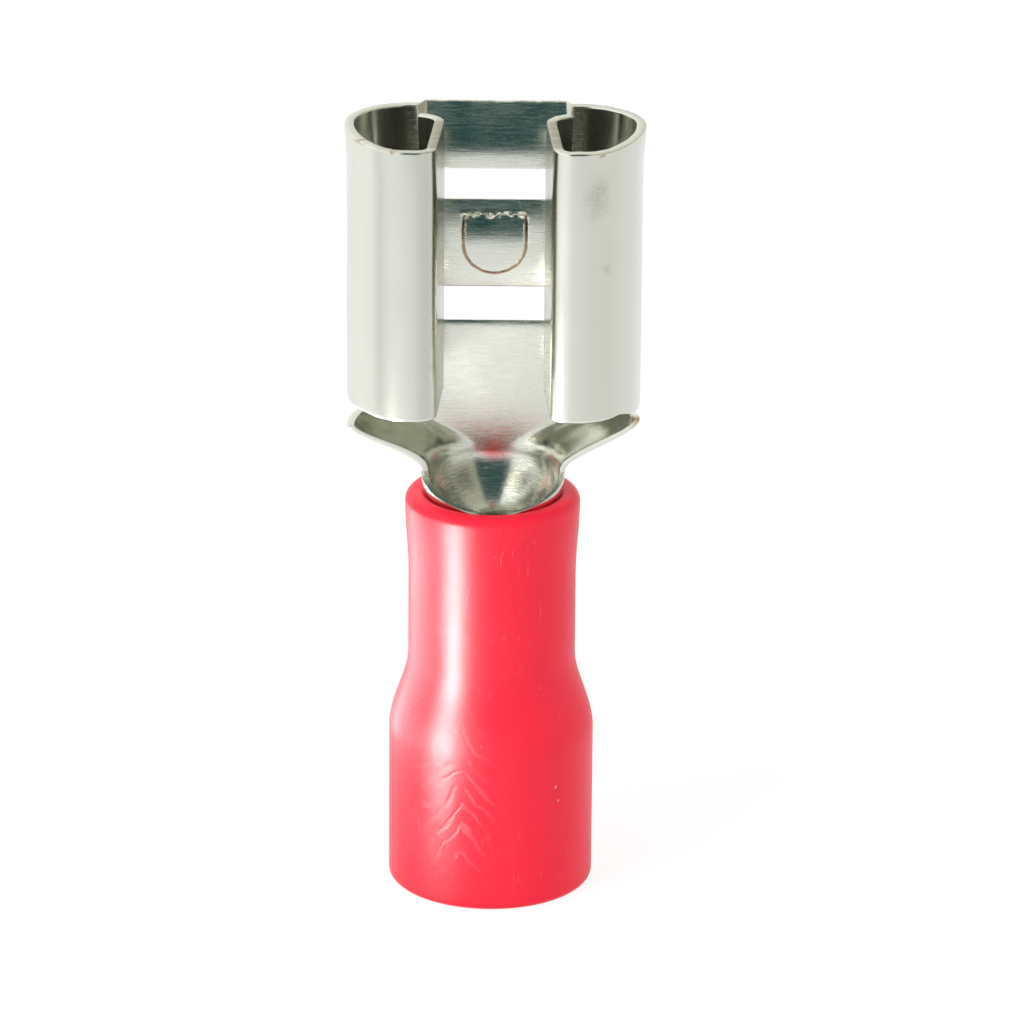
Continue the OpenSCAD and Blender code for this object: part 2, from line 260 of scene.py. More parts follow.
class Nodes:
    """The node tree of a material or a world, with short ways to add and join nodes."""

    def __init__(self, name, kind="material"):
        made = bpy.data.worlds if kind == "world" else bpy.data.materials
        self.material = made.new(name)
        self.material.use_nodes = True
        self.tree = self.material.node_tree
        usual = "Background" if kind == "world" else "Principled BSDF"
        self.shader = self.tree.nodes[usual]

    def show(self, node):
        """Puts another shader in the place of the usual one."""
        self.tree.nodes.remove(self.shader)
        output = next(n for n in self.tree.nodes if n.bl_idname.startswith("ShaderNodeOutput"))
        self.tree.links.new(node.outputs[0], output.inputs["Surface"])

    def add(self, kind, **inputs):
        """A new node with its inputs joined or set. Settings start with a capital letter."""
        node = self.tree.nodes.new(kind)
        for key, value in inputs.items():
            if key.startswith("set_"):
                setattr(node, key[4:], value)
        for key, value in inputs.items():
            if not key.startswith("set_"):
                self.put(node.inputs[int(key[1:]) if key[1:].isdigit() else key], value)
        return node

    def put(self, socket, value):
        """Joins another node's output to a socket, or sets its value."""
        if isinstance(value, bpy.types.NodeSocket):
            self.tree.links.new(value, socket)
        else:
            socket.default_value = value

    def sheet(self):
        """Place on the flat blank, in millimetres: across the strip and along it."""
        return self.add("ShaderNodeUVMap", set_uv_map="blank").outputs["UV"]

    def scaled(self, vector, *scale):
        """A vector with each of its parts multiplied."""
        node = self.add("ShaderNodeVectorMath", set_operation="MULTIPLY", i0=vector, i1=scale)
        return node.outputs[0]

    def noise(self, vector, scale, detail=2.0, roughness=0.5):
        """Noise from 0 to 1."""
        node = self.add(
            "ShaderNodeTexNoise", Vector=vector, Scale=scale, Detail=detail, Roughness=roughness
        )
        return node.outputs["Fac"]

    def spots(self, vector, scale):
        """Distance to the nearest of many scattered points."""
        return self.add("ShaderNodeTexVoronoi", Vector=vector, Scale=scale).outputs["Distance"]

    def ramp(self, value, low, high, start=0.0, end=1.0):
        """A value spread from low and high to start and end, smoothly and clamped."""
        node = self.add(
            "ShaderNodeMapRange",
            set_interpolation_type="SMOOTHSTEP",
            Value=value,
            i1=low,
            i2=high,
            i3=start,
            i4=end,
        )
        return node.outputs[0]

    def maths(self, operation, a, b=0.0):
        """A sum, product or the like of two values."""
        return self.add("ShaderNodeMath", set_operation=operation, i0=a, i1=b).outputs[0]

    def blend(self, share, a, b):
        """A colour between a and b."""
        node = self.add("ShaderNodeMix", set_data_type="RGBA", i0=share, i6=a, i7=b)
        return node.outputs[2]

    def blob(self, vector, centre, size):
        """A soft spot: 1 at its centre and 0 outside its size, in the vector's units."""
        offset = self.add("ShaderNodeVectorMath", set_operation="SUBTRACT", i0=vector, i1=centre)
        share = self.add(
            "ShaderNodeVectorMath", set_operation="DIVIDE", i0=offset.outputs[0], i1=size
        )
        away = self.add("ShaderNodeVectorMath", set_operation="LENGTH", i0=share.outputs[0])
        return self.ramp(away.outputs["Value"], 0.0, 1.0, 1.0, 0.0)

    def parts(self, vector):
        """A vector's three numbers."""
        return self.add("ShaderNodeSeparateXYZ", Vector=vector).outputs

    def wander(self, vector, scale, reach):
        """A vector shifted about by noise, so that marks on it get ragged outlines."""
        shift = self.add("ShaderNodeTexNoise", Vector=vector, Scale=scale, Detail=3.0)
        centred = self.add(
            "ShaderNodeVectorMath",
            set_operation="SUBTRACT",
            i0=shift.outputs["Color"],
            i1=(0.5, 0.5, 0.5),
        )
        node = self.add(
            "ShaderNodeVectorMath",
            set_operation="MULTIPLY_ADD",
            i0=centred.outputs[0],
            i1=(2 * reach, 2 * reach, 0),
            i2=vector,
        )
        return node.outputs[0]

    def detent_line(self, settings):
        """The thin sheared line round the detent, a U that is open towards the mouth."""
        middle = (STRIP_BOX[1].z - settings.header - settings.upper_window) / MM
        middle -= settings.bridge / MM / 2
        end = settings.detent_width / 2 / MM
        centre = middle - settings.detent_height / 2 / MM + end
        across, along, _ = self.parts(self.wander(self.sheet(), 6.0, 0.02))
        away = self.maths("ABSOLUTE", across)
        down = self.maths("MINIMUM", self.maths("SUBTRACT", along, centre), 0.0)
        squares = [self.maths("POWER", part, 2.0) for part in (away, down)]
        reach = self.maths("SQRT", self.maths("ADD", *squares))
        gap = self.maths("ABSOLUTE", self.maths("SUBTRACT", reach, end))
        line = self.ramp(gap, 0.015, 0.05, 1.0, 0.0)
        top = middle + settings.detent_height / 2 / MM
        return self.maths("MULTIPLY", line, self.ramp(along, top - 0.25, top, 0.85, 0.0))

    def bump(self, height, distance):
        """Relief on the surface, distance high in metres."""
        node = self.add("ShaderNodeBump", Height=height, Distance=distance, Strength=1.0)
        return node.outputs["Normal"]

    def seen_share(self):
        """1 for a ray from the camera, a gloss or a clear piece, and 0 for any other."""
        path = self.add("ShaderNodeLightPath").outputs
        share = self.maths("MAXIMUM", path["Is Camera Ray"], path["Is Glossy Ray"])
        return self.maths("MAXIMUM", share, path["Is Transmission Ray"])


def colour(values, share=1.0):
    """A colour setting as four numbers, darkened to a share of itself."""
    return (values[0] * share, values[1] * share, values[2] * share, 1.0)


def tin_plate(settings):
    """Dull tin plating with rolling lines and small handling marks, painted shade in the folds
    where the curls turn back in, painted shade on the left curl's front, and the sleeve's red
    painted into the throat as a reflection.
    """
    n = Nodes("tin_plate")
    place = n.sheet()
    clouds = n.noise(n.scaled(place, 0.5, 0.35, 1.0), 1.5, 3.0, 0.5)
    lines = n.noise(n.scaled(place, 0.5, 9.0, 1.0), 3.0, 3.0, 0.6)
    grain = n.noise(place, 14.0, 2.0, 0.5)
    across, _, _ = n.parts(place)
    away = n.maths("ABSOLUTE", across)
    floor = n.ramp(away, 2.1, 2.6, 1.0, 0.0)
    tone = n.blend(clouds, colour(settings.tin, 0.97), colour(settings.tin, 1.02))
    # Painted shade: the folds where the curls turn back in are darkened towards olive-brown.
    folds = n.maths("MULTIPLY", n.ramp(away, 8.8, 9.05), n.ramp(away, 11.0, 11.6, 1.0, 0.0))
    tone = n.blend(n.maths("MULTIPLY", folds, 0.85), tone, colour(settings.tarnish_and_shade, 1.0))
    # Painted shade: the left curl's front is darkened so that it stays duller than the right
    # curl's front.
    front = n.maths("MULTIPLY", n.ramp(across, -7.3, -6.9, 1.0, 0.0), n.ramp(across, -8.9, -8.5))
    tone = n.blend(n.maths("MULTIPLY", front, 0.8), tone, colour(settings.tin, 0.84))
    for centre, size, share in SMUDGES:
        mark = n.blob(n.wander(place, 2.2, 0.25), (*centre, 0), (*size, 1))
        speckled = n.maths("MULTIPLY", mark, n.ramp(grain, 0.3, 0.6, 0.45, 1.0))
        tone = n.blend(n.maths("MULTIPLY", speckled, share), tone, colour(settings.tarnish_and_shade))
    for centre, size, share in STAINS:
        mark = n.blob(n.wander(place, 5.0, 0.12), (*centre, 0), (*size, 1))
        tone = n.blend(n.maths("MULTIPLY", mark, share), tone, colour(settings.brass, 0.6))
    blush = n.blob(n.wander(place, 2.2, 0.15), *BLUSH)
    tone = n.blend(n.maths("MULTIPLY", blush, 0.8), tone, BLUSH_COLOUR)
    pits = n.maths("MULTIPLY", n.ramp(n.spots(place, 1.35), 0.03, 0.06, 0.6, 0.0), floor)
    tone = n.blend(pits, tone, (0.22, 0.2, 0.16, 1.0))
    line = n.detent_line(settings)
    tone = n.blend(line, tone, colour(settings.brass, 0.55))
    n.put(n.shader.inputs["Base Color"], tone)
    n.shader.inputs["Metallic"].default_value = 1.0
    lined = n.ramp(lines, 0.3, 0.7, 0.0, 0.1)
    dull = n.maths("ADD", n.maths("MULTIPLY", lined, floor), n.ramp(clouds, 0.3, 0.7, 0.18, 0.24))
    n.put(n.shader.inputs["Roughness"], dull)
    relief = n.maths("MULTIPLY", lines, n.maths("ADD", n.maths("MULTIPLY", floor, 0.3), 0.05))
    relief = n.maths("ADD", relief, n.maths("MULTIPLY", grain, 0.12))
    relief = n.maths("SUBTRACT", relief, n.maths("MULTIPLY", line, 2.0))
    n.put(n.shader.inputs["Normal"], n.bump(relief, 0.006 * MM))
    return n.material


def sheared_edge(settings):
    """The strip's cut edges: smeared tin over bare brass, browner towards their borders, with the
    sleeve's pink painted on the funnel's edges as a reflection.
    """
    n = Nodes("sheared_edge")
    place = n.sheet()
    streaks = n.noise(n.scaled(place, 2.2, 2.2, 1.0), 1.6, 4.0, 0.7)
    fine = n.noise(place, 16.0, 3.0, 0.6)
    share = n.ramp(n.maths("ADD", streaks, n.maths("MULTIPLY", fine, 0.35)), 0.56, 0.76)
    _, along, _ = n.parts(place)
    low = n.ramp(along, 11.9, 11.1)
    share = n.maths("MAXIMUM", n.maths("MULTIPLY", share, 0.75), n.maths("MULTIPLY", low, 0.8))
    # Painted reflection: below the curls the cut edges turn pink, the red sleeve's reflection
    # painted into their colour.
    shoulders = n.ramp(along, 12.9, 12.5)
    bare = n.blend(shoulders, colour(settings.tin, 1.12), (0.78, 0.58, 0.5, 1.0))
    tone = n.blend(share, bare, colour(settings.brass, 0.75))
    n.put(n.shader.inputs["Base Color"], tone)
    n.shader.inputs["Metallic"].default_value = 1.0
    n.shader.inputs["Roughness"].default_value = 0.32
    n.put(n.shader.inputs["Normal"], n.bump(fine, 0.012 * MM))
    return n.material


def shaded_inner_tin(settings):
    """The duller, yellower, scarcely metallic copy of the tin for the curls' insides: painted
    shade standing in for their dim olive light.
    """
    n = Nodes("shaded_inner_tin")
    place = n.sheet()
    clouds = n.noise(place, 0.9, 3.0, 0.5)
    tone = n.blend(clouds, (0.6, 0.57, 0.43, 1.0), (0.72, 0.7, 0.56, 1.0))
    n.put(n.shader.inputs["Base Color"], tone)
    n.shader.inputs["Metallic"].default_value = 0.15
    n.put(n.shader.inputs["Roughness"], n.ramp(clouds, 0.3, 0.7, 0.3, 0.4))
    return n.material


def sleeve_pvc(settings):
    """Satin red PVC with faint flow marks, slanting wrinkles carrying a painted highlight, fine
    scratches and a few specks.
    """
    n = Nodes("sleeve_pvc")
    place = n.add("ShaderNodeTexCoord").outputs["Object"]
    place = n.scaled(place, 1000.0, 1000.0, 1000.0)
    clouds = n.noise(place, 0.45, 3.0, 0.5)
    across, _, height = n.parts(place)
    tone = n.blend(clouds, colour(settings.red, 0.94), colour(settings.red, 1.04))
    aside = n.maths("ABSOLUTE", n.maths("ADD", across, 0.75))
    slant = n.maths("ADD", height, n.maths("MULTIPLY", aside, 1.1))
    wavy = n.maths("ADD", slant, n.maths("MULTIPLY", n.noise(place, 0.9, 4.0), 1.6))
    wrinkles_and_sheen = n.maths("SINE", n.maths("MULTIPLY", wavy, 11.0))
    patch = n.blob(place, (-0.9, -2.4, 3.0), (1.5, 1.6, 3.0))
    wrinkles_and_sheen = n.maths("MULTIPLY", n.ramp(wrinkles_and_sheen, 0.2, 1.0), patch)
    wrinkles_and_sheen = n.maths("MULTIPLY", wrinkles_and_sheen, n.ramp(n.noise(place, 2.6, 3.0), 0.35, 0.6))
    # The paler tint blended in here is a painted highlight on the slanting wrinkles; their relief
    # and roughness are real.
    tone = n.blend(n.maths("MULTIPLY", wrinkles_and_sheen, 0.3), tone, colour(settings.scuff_and_sheen))
    hairs = n.noise(n.scaled(place, 9.0, 9.0, 0.7), 2.6, 2.0)
    hairs = n.maths("MULTIPLY", n.ramp(hairs, 0.66, 0.72), n.ramp(n.noise(place, 0.7), 0.45, 0.6))
    tone = n.blend(n.maths("MULTIPLY", hairs, 0.25), tone, colour(settings.scuff_and_sheen))
    specks = n.ramp(n.spots(place, 0.62), 0.012, 0.028, 1.0, 0.0)
    tone = n.blend(n.maths("MULTIPLY", specks, 0.75), tone, (0.95, 0.5, 0.5, 1.0))
    n.put(n.shader.inputs["Base Color"], tone)
    rough = n.maths("ADD", n.ramp(clouds, 0.3, 0.7, 0.36, 0.44), n.maths("MULTIPLY", wrinkles_and_sheen, 0.12))
    n.put(n.shader.inputs["Roughness"], rough)
    n.shader.inputs["IOR"].default_value = 1.5
    n.shader.inputs["Specular IOR Level"].default_value = 0.3
    n.shader.inputs["Subsurface Weight"].default_value = 0.2
    n.shader.inputs["Subsurface Radius"].default_value = (1.0, 0.25, 0.2)
    n.shader.inputs["Subsurface Scale"].default_value = 0.3 * MM
    relief = n.maths("SUBTRACT", n.noise(place, 1.1, 3.0), n.maths("MULTIPLY", wrinkles_and_sheen, 0.5))
    relief = n.maths("SUBTRACT", relief, n.maths("MULTIPLY", hairs, 0.2))
    relief = n.maths("ADD", relief, n.maths("MULTIPLY", specks, 0.4))
    n.put(n.shader.inputs["Normal"], n.bump(relief, 0.018 * MM))
    return n.material


# ---------------------------------------------------------------- the folded strip


class Strip:
    """Where each place on the flat blank goes when the strip is folded."""

    def __init__(self, s):
        low, high = STRIP_BOX
        self.s = s
        self.half_width = (high.x - low.x) / 2
        self.mouth = high.z
        self.barrel_end = low.z
        self.curl_bottom = self.mouth - s.curl_length
        self.funnel_top = self.curl_bottom - s.slit
        self.barrel_top = self.funnel_top - s.funnel
        self.window_top = self.mouth - s.header
        self.bridge_top = self.window_top - s.upper_window
        self.bridge_bottom = self.bridge_top - s.bridge
        self.window_bottom = self.bridge_bottom - s.lower_window
        self.lip_start = self.mouth - s.lip_height
        self.floor_half = self.half_width - s.floor_fold
        self.curl = self.curl_path()
        self.curl_half = sum(size if not radius else radius * size for radius, size in self.curl)
        slit_turn = math.acos(1 - s.slit_end / s.floor_fold)
        self.slit_half = self.floor_half + s.floor_fold * slit_turn
        self.shoulder_half = self.gather(1.0)[2]

    def curl_path(self):
        """The fold path of a curl, as (outer radius, turn), or (0, length) where it is flat."""
        s = self.s
        bow = s.depth - s.floor_fold - s.front_fold * (1 - math.sin(s.side_turn))
        side = bow / math.sin(s.side_turn)
        front_start = self.half_width - side * (1 - math.cos(s.side_turn))
        front_start -= s.front_fold * math.cos(s.side_turn)
        lean = s.return_lean
        inward = s.depth - s.sheet - s.tab_gap - s.return_fold * (1 - math.sin(lean))
        inward -= s.tip_fold * (math.sin(lean) + math.sin(s.tip_turn - lean))
        straight = inward / math.cos(lean)
        front_end = s.gap / 2 + s.tip_fold * (1 - math.cos(lean))
        front_end += straight * math.sin(lean) + s.return_fold * math.cos(lean)
        return [
            (0, self.floor_half),
            (s.floor_fold, math.pi / 2),
            (side, s.side_turn),
            (s.front_fold, math.pi / 2 - s.side_turn),
            (0, front_start - front_end),
            (s.return_fold, math.pi / 2 - lean),
            (0, straight),
            (s.tip_fold, s.tip_turn),
        ]

    def follow(self, path, along):
        """The place and the heading on a fold path, a distance along its outer face."""
        x, y, heading = 0.0, self.s.floor_back, 0.0
        for radius, size in path:
            reach = size if not radius else radius * size
            step = along if (along <= reach or (radius, size) == path[-1]) else reach
            if radius:
                end = heading + step / radius
                x += radius * (math.sin(end) - math.sin(heading))
                y += radius * (math.cos(end) - math.cos(heading))
                heading = end
            else:
                x += step * math.cos(heading)
                y -= step * math.sin(heading)
            along -= step
            if along <= 0:
                break
        return x, y, heading

    def gather(self, share):
        """Half width of the flat floor, side radius, half length and back, up the funnel."""
        s = self.s
        above = ease((share - s.waist_at) / (1 - s.waist_at))
        below = ease(share / s.waist_at)
        rolled = ease(share / s.waist_at / 0.75)
        flat = mix(s.waist_flat / 2, self.floor_half, above) if above else s.waist_flat / 2 * below
        radius = mix(s.barrel_radius, s.waist_radius, rolled)
        if above:
            radius = mix(s.waist_radius, s.floor_fold, above)
        closed = math.pi - math.asin(s.seam / 2 / s.barrel_radius)
        wrap = mix(closed, s.shoulder_wrap, ease(2 * share / s.waist_at - 1))
        back = mix(s.barrel_radius, s.floor_back, ease(share / 0.56))
        return flat, radius, flat + radius * wrap, back

    def funnel_point(self, share, side):
        """A point of the outer face, a share up the funnel and a share (-1 to 1) to the side."""
        flat, radius, half, back = self.gather(share)
        along = abs(side) * half
        angle = max(along - flat, 0) / radius
        x = min(along, flat) + radius * math.sin(angle)
        height = mix(self.barrel_top, self.funnel_top, share)
        tip = self.s.left_tip if side < 0 else self.s.right_tip
        height += tip * ease((abs(side) - 0.7) / 0.3) * ease((share - 0.6) / 0.4)
        return Vector((math.copysign(x, side), back - radius * (1 - math.cos(angle)), height))

    def floor_shape(self, along, height):
        """How far the floor's front face stands back, and its tilt upwards."""
        s = self.s
        if height > self.lip_start:
            rise = height - self.lip_start
            bend = s.lip_bend * math.sin(s.lip_angle)
            tilt = math.asin(min(rise, bend) / s.lip_bend)
            back = s.lip_bend * (1 - math.cos(tilt)) + max(rise - bend, 0) * math.tan(tilt)
            ramp = 0.22 * MM if along < 0 else 0.1 * MM
            share = ease((s.lip_width / 2 - abs(along)) / ramp + 0.5)
            return back * share, tilt * share
        if self.bridge_bottom <= height <= self.bridge_top:
            offset = height - (self.bridge_bottom + self.bridge_top) / 2
            tilt = math.asin(offset / s.bridge_radius)
            front = s.bridge_rise - s.bridge_radius * (1 - math.cos(tilt))
            share = ease((s.window_width / 2 - abs(along)) / (0.22 * MM))
            return -front * share, tilt * share
        rise = height - self.window_bottom + WINDOW_SILL
        if 0 < rise < WINDOW_SILL + 0.001 * MM and abs(along) < s.window_width / 2:
            back = 0.05 * MM * (rise / WINDOW_SILL) ** 2
            return back, math.atan(2 * back / rise)
        return 0.0, 0.0

    def fold(self, along, height, depth):
        """The folded place of a point of the blank, depth under its outer face."""
        s = self.s
        if height < self.funnel_top:
            share = max(height - self.barrel_top, 0) / s.funnel
            side = along / self.shoulder_half
            step = 1e-3
            across = self.funnel_point(share, side + step) - self.funnel_point(share, side - step)
            up = self.funnel_point(share + step, side) - self.funnel_point(share - step, side)
            point = self.funnel_point(share, side)
            if height < self.barrel_top:
                point.z = height
            thinned = 0.25 if side < 0 else 0.45
            depth *= 1 - thinned * ease((abs(side) - 0.7) / 0.3) * ease(share / 0.3)
            return point + depth * across.cross(up).normalized()
        x, y, heading = self.follow(self.curl, abs(along))
        outward = Vector((math.sin(heading), math.cos(heading), 0))
        point = Vector((x, y, height)) - depth * outward
        if abs(along) < self.floor_half:
            back, tilt = self.floor_shape(along, height)
            under = s.sheet - depth
            point.y = s.floor_back - s.sheet + back + under * math.cos(tilt)
            point.z -= under * math.sin(tilt)
        radius = s.left_corner if along < 0 else s.right_corner
        corner = max(abs(point.x) - (self.half_width - radius), 0)
        if corner and height >= self.curl_bottom:
            lift = radius - math.sqrt(max(radius**2 - corner**2, 0))
            point.z += lift * (1 - ease((height - self.curl_bottom) / (2.5 * radius)))
        if height >= self.curl_bottom:
            dip = s.left_dip if along < 0 else s.right_dip
            outer = ease((abs(point.x) - self.half_width) / (0.6 * MM) + 1)
            point.z -= dip * outer * (1 - ease((height - self.curl_bottom) / (1.2 * MM)))
            ragged = noise.noise((along / (0.35 * MM), height / (2 * MM), 3.7))
            ragged += 0.6 * noise.noise((along / (0.12 * MM), 7.1, 0.4))
            near = ease((height - self.mouth) / (0.12 * MM) + 1)
            near -= ease((self.curl_bottom - height) / (0.12 * MM) + 1)
            point.z -= RAGGED_EDGE * abs(ragged) * near
        widened = ease((height - self.mouth) / (1.1 * MM) + 1)
        widened *= ease(abs(point.x) / self.half_width)
        point.x += math.copysign(s.flare * widened, point.x)
        point.x = math.copysign(point.x, along)
        return point


def punched(strip, along, height):
    """Whether the press takes this place out of the blank."""
    s = strip.s
    if height < strip.funnel_top:
        return abs(along) > strip.shoulder_half
    if height < strip.curl_bottom:
        return abs(along) > strip.slit_half
    if abs(along) > s.window_width / 2:
        return False
    upper = strip.bridge_top < height < strip.window_top
    return upper or strip.window_bottom < height < strip.bridge_bottom


def fillet(sheet, corner, across, up, radius):
    """Rounds an inner corner of an opening. across and up are the signs of the way into it."""

    def edge(axis, sign):
        """Vertices along one edge of the opening, from the corner to the fillet's end."""
        found = [
            v
            for v in sheet.verts
            if abs(v.co[1 - axis] - corner[1 - axis]) < 1e-7
            and -1e-7 < (v.co[axis] - corner[axis]) * sign < radius + 1e-7
        ]
        return sorted(found, key=lambda v: (v.co[axis] - corner[axis]) * sign)

    base, side = edge(0, across), edge(1, up)
    radius_x = abs(base[-1].co.x - corner[0])
    radius_y = abs(side[-1].co.y - corner[1])
    arc = [side[-1]]
    for v in base[1:-1]:
        share = 1 - abs(v.co.x - corner[0]) / radius_x
        rise = radius_y * (1 - math.sqrt(1 - share * share))
        arc.append(sheet.verts.new((v.co.x, v.co.y + up * rise, 0)))
    arc.append(base[-1])
    faces = [[base[0], base[1], arc[1], *reversed(side[1:])]]
    faces += [[base[i], base[i + 1], arc[i + 1], arc[i]] for i in range(1, len(base) - 2)]
    faces.append([base[-2], base[-1], arc[-2]])
    for corners in faces:
        sheet.faces.new(corners if across * up > 0 else list(reversed(corners)))


def flat_blank(strip):
    """The strip before it is folded, punched out of flat sheet: across on X, along on Y."""
    s = strip.s
    half_window = s.window_width / 2
    half = stations(
        0,
        (half_window - s.window_corner, 0.042 * MM),
        (half_window, 0.04 * MM),
        (s.lip_width / 2 + 0.12 * MM, 0.04 * MM),
        (strip.floor_half, 0.1 * MM),
        (strip.slit_half, 0.11 * MM),
        (strip.slit_half + SLIT_CORNER, 0.05 * MM),
        (strip.shoulder_half, 0.11 * MM),
        (strip.curl_half - 3.6 * MM, 0.13 * MM),
        (strip.curl_half, 0.097 * MM),
    )
    columns = [-x for x in reversed(half[1:])] + half
    corner = s.window_corner
    rows = stations(
        strip.barrel_end,
        (strip.barrel_top, 0.4 * MM),
        (strip.funnel_top, 0.07 * MM),
        (strip.funnel_top + SLIT_CORNER, 0.05 * MM),
        (strip.curl_bottom - SLIT_CORNER, 0.1 * MM),
        (strip.curl_bottom, 0.05 * MM),
        (strip.window_bottom - WINDOW_SILL, 0.12 * MM),
        (strip.window_bottom, 0.05 * MM),
        (strip.window_bottom + corner, 0.04 * MM),
        (strip.bridge_bottom - corner, 0.12 * MM),
        (strip.bridge_bottom, 0.04 * MM),
        (strip.bridge_top, 0.04 * MM),
        (strip.bridge_top + corner, 0.04 * MM),
        (strip.window_top - corner, 0.12 * MM),
        (strip.window_top, 0.04 * MM),
        (strip.lip_start, 0.1 * MM),
        (strip.mouth, 0.06 * MM),
    )
    deselect()
    bpy.ops.mesh.primitive_grid_add(
        x_subdivisions=len(columns) - 1, y_subdivisions=len(rows) - 1, size=2
    )
    blank = bpy.context.object
    for v in blank.data.vertices:
        column = round((v.co.x + 1) / 2 * (len(columns) - 1))
        row = round((v.co.y + 1) / 2 * (len(rows) - 1))
        v.co = (columns[column], rows[row], 0)
    sheet = bmesh.new()
    sheet.from_mesh(blank.data)
    waste = []
    for face in sheet.faces:
        centre = face.calc_center_median()
        if punched(strip, centre.x, centre.y):
            waste.append(face)
    bmesh.ops.delete(sheet, geom=waste, context="FACES")
    windows = [
        (strip.window_bottom, strip.bridge_bottom),
        (strip.bridge_top, strip.window_top),
    ]
    for side in (-1, 1):
        for low, high in windows:
            fillet(sheet, (side * half_window, low), -side, 1, corner)
            fillet(sheet, (side * half_window, high), -side, -1, corner)
        fillet(sheet, (side * strip.slit_half, strip.funnel_top), side, 1, SLIT_CORNER)
        fillet(sheet, (side * strip.slit_half, strip.curl_bottom), side, -1, SLIT_CORNER)
    sheet.to_mesh(blank.data)
    sheet.free()
    return blank


def thicken(blank, s, curl_bottom):
    """Gives the flat blank its thickness and rounds its sheared edges a little."""
    bpy.ops.object.mode_set(mode="EDIT")
    bpy.ops.mesh.select_all(action="SELECT")
    bpy.ops.mesh.extrude_region_move(TRANSFORM_OT_translate={"value": (0, 0, -s.sheet)})
    bpy.ops.mesh.select_all(action="SELECT")
    bpy.ops.mesh.normals_make_consistent(inside=False)
    bpy.ops.mesh.select_all(action="DESELECT")
    bpy.ops.mesh.select_mode(type="EDGE")
    bpy.ops.mesh.edges_select_sharp(sharpness=SHARP_ANGLE)
    bpy.ops.mesh.bevel(offset=s.edge_round, offset_type="OFFSET", segments=2, affect="EDGES")
    bpy.ops.object.mode_set(mode="OBJECT")
    for face in blank.data.polygons:
        # The curls' inner faces take the third material, the copy of the tin that paints shade
        # inside the curls.
        inside = face.normal.z < -0.9 and abs(face.center.x) > INNER_START
        inside = inside and face.center.y > curl_bottom
        face.material_index = 2 if inside else int(abs(face.normal.z) <= 0.9)


def detent_relief(strip, along, height):
    """How far the detent stands behind the bridge's front, at a place on the bridge."""
    s = strip.s
    end = s.detent_width / 2
    low = (strip.bridge_bottom + strip.bridge_top - s.detent_height) / 2
    centre = low + end
    top = low + s.detent_height
    reach = abs(along) if height > centre else math.hypot(along, height - centre)
    inside = ease((end - reach) / (0.1 * MM) + 0.5) * ease((top - height) / (0.05 * MM) + 0.5)
    dish = 0.17 * MM * ((height - low) / (top - low)) ** 2 - 0.02 * MM
    burr = noise.noise((along / (0.13 * MM), height / (0.1 * MM), 1.3)) + 0.35
    burr *= ease(1 - abs(height - top) / (0.14 * MM)) * ease((end - abs(along)) / (0.2 * MM) + 0.5)
    return dish * inside - 0.11 * MM * max(burr, 0)


def press_and_fold(blank, strip):
    """Folds the flat blank, and keeps its flat places for the materials."""
    s = strip.s
    mesh = blank.data
    flat = [v.co.copy() for v in mesh.vertices]
    blank_map = mesh.uv_layers[0]
    blank_map.name = "blank"
    for loop in mesh.loops:
        place = flat[loop.vertex_index]
        blank_map.data[loop.index].uv = (place.x / MM, place.y / MM)
    for v in mesh.vertices:
        along, height, depth = v.co.x, v.co.y, -v.co.z
        if height <= strip.funnel_top:
            along = max(-strip.shoulder_half, min(strip.shoulder_half, along))
        point = strip.fold(along, height, depth)
        if strip.bridge_bottom < height < strip.bridge_top and abs(along) < s.window_width / 2:
            point.y += detent_relief(strip, along, height) * depth / s.sheet
        v.co = point
    deselect()
    blank.select_set(True)
    bpy.context.view_layer.objects.active = blank
    bpy.ops.object.mode_set(mode="EDIT")
    bpy.ops.mesh.select_all(action="SELECT")
    bpy.ops.mesh.normals_make_consistent(inside=False)
    bpy.ops.object.mode_set(mode="OBJECT")
    bpy.ops.object.shade_smooth_by_angle(angle=SMOOTH_ANGLE)


class SPADE_OT_strip(bpy.types.Operator):
    """Punches the flat blank, folds it into the receptacle and rolls the crimp barrel."""

    bl_idname = "spade.strip"
    bl_label = "Folded strip"

    def execute(self, context):
        s = context.scene.spade_strip
        strip = Strip(s)
        blank = flat_blank(strip)
        thicken(blank, s, strip.curl_bottom)
        press_and_fold(blank, strip)
        plating = (tin_plate(s), sheared_edge(s), shaded_inner_tin(s))
        finished(blank, "folded_strip", "terminal", "tinned_brass", *plating)
        return {"FINISHED"}


# ---------------------------------------------------------------- the sleeve


def arc(centre, radius, start, end, steps=10):
    """Points of an arc in the sleeve's outline, as (radius, height), angles in degrees."""
    points = []
    for i in range(steps + 1):
        angle = math.radians(mix(start, end, i / steps))
        points.append((centre[0] + radius * math.cos(angle), centre[1] + radius * math.sin(angle)))
    return points


def swell(low, high, steps=24):
    """Points of an S-shaped stretch that leaves both ends upright."""
    return [
        (mix(low[0], high[0], ease(i / steps)), mix(low[1], high[1], i / steps))
        for i in range(1, steps)
    ]


def upright(low, high, steps):
    """Points between two places, evenly spread."""
    return [
        (mix(low[0], high[0], i / steps), mix(low[1], high[1], i / steps))
        for i in range(1, steps)
    ]


